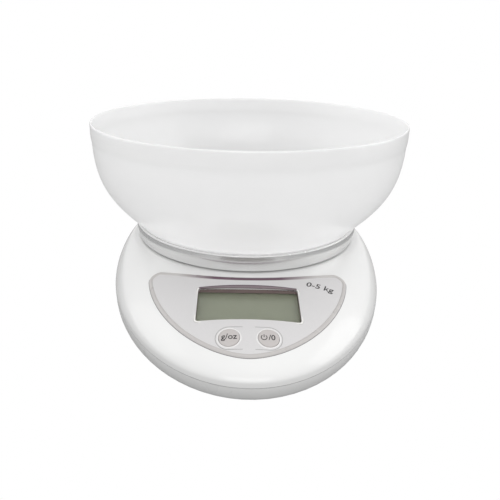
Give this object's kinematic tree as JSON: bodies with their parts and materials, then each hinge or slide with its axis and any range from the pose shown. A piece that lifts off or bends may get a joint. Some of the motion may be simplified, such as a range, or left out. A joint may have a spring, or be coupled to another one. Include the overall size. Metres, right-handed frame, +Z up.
{
  "type": "digital kitchen scale with bowl",
  "caption": "Digital kitchen scale: egg-shaped white body with a half-moon panel on its nose, a round silver platform and a deep lift-off bowl.",
  "frame": {"origin": "centre of the bounding box's base, on the table, 22.6 mm in front of the platform's axis", "axes": "+Z up, -Y towards the nose with the control panel, +X to the right of a person facing the panel"},
  "size_m": [0.1906, 0.2357, 0.1066],
  "materials": {
    "frosted": "frosted translucent moulding, satin",
    "silver": "satin silver lacquer",
    "inner_white": "plain moulded",
    "screws": "zinc plated",
    "shims": "stamped",
    "bar": "milled",
    "silicone": "cast silicone",
    "white": "gloss white",
    "panel": "satin silver-grey",
    "lens": "clear",
    "lcd": "blank reflective display",
    "grey_plastic": "moulded",
    "zebra": "layered rubber",
    "board": "solder mask over glass fibre",
    "epoxy": "cast resin",
    "components": "mixed small parts",
    "black_plastic": "moulded",
    "buttons": "satin silver-grey",
    "cell_sleeve": "plain coloured sleeve",
    "contacts": "nickel plated",
    "white_wire": "insulated",
    "red_wire": "insulated",
    "black_wire": "insulated",
    "feet": "moulded"
  },
  "bodies": {
    "body": {"load_cell_fixed_end": "bar", "gauge_coating": "silicone", "fixed_spacer": "shims", "anchor_screws": "screws", "upper_housing": "white", "lower_housing": "white", "housing_screws": "screws", "control_panel": "panel", "display_lens": "lens", "display_frame": "grey_plastic", "display_glass": "lcd", "contact_strips": "zebra", "main_board": "board", "chip_cover": "epoxy", "board_components": "components", "board_screws": "screws", "switch_bodies": "black_plastic", "battery_front": "cell_sleeve", "battery_rear": "cell_sleeve", "battery_springs": "contacts", "bridge_contact": "contacts", "positive_contact": "contacts", "negative_contact": "contacts", "cell_wires": "white_wire", "red_wire": "red_wire", "black_wire": "black_wire", "rubber_feet": "feet"},
    "bowl": {"bowl": "frosted"},
    "platform": {"platform": "silver", "platform_bracket": "inner_white", "platform_screws": "screws", "load_spacer": "shims", "load_screws": "screws", "load_cell_free_end": "bar"},
    "unit_button": {"unit_button": "buttons", "unit_plunger": "grey_plastic"},
    "power_button": {"power_button": "buttons", "power_plunger": "grey_plastic"},
    "battery_door": {"battery_door": "white"}
  },
  "joints": [
    {"name": "weighing", "type": "slide", "parent": "body", "child": "platform", "axis": [0, 0, -1], "range_m": [0, 0.0005], "stiffness_N_per_m": 90000, "springref_m": -0.00003},
    {"name": "bowl_lift", "type": "slide", "parent": "platform", "child": "bowl", "axis": [0, 0, 1], "range_m": [0, 0.12]},
    {"name": "unit_press", "type": "slide", "parent": "body", "child": "unit_button", "axis": [0, 0.208, -0.9781], "range_m": [0, 0.0006], "stiffness_N_per_m": 400, "springref_m": -0.0002},
    {"name": "power_press", "type": "slide", "parent": "body", "child": "power_button", "axis": [0, 0.208, -0.9781], "range_m": [0, 0.0006], "stiffness_N_per_m": 400, "springref_m": -0.0002},
    {"name": "door_hinge", "type": "hinge", "parent": "body", "child": "battery_door", "pos_m": [0, 0.05767, 0.006], "axis": [-1, 0, 0], "range_deg": [0, 90]}
  ]
}
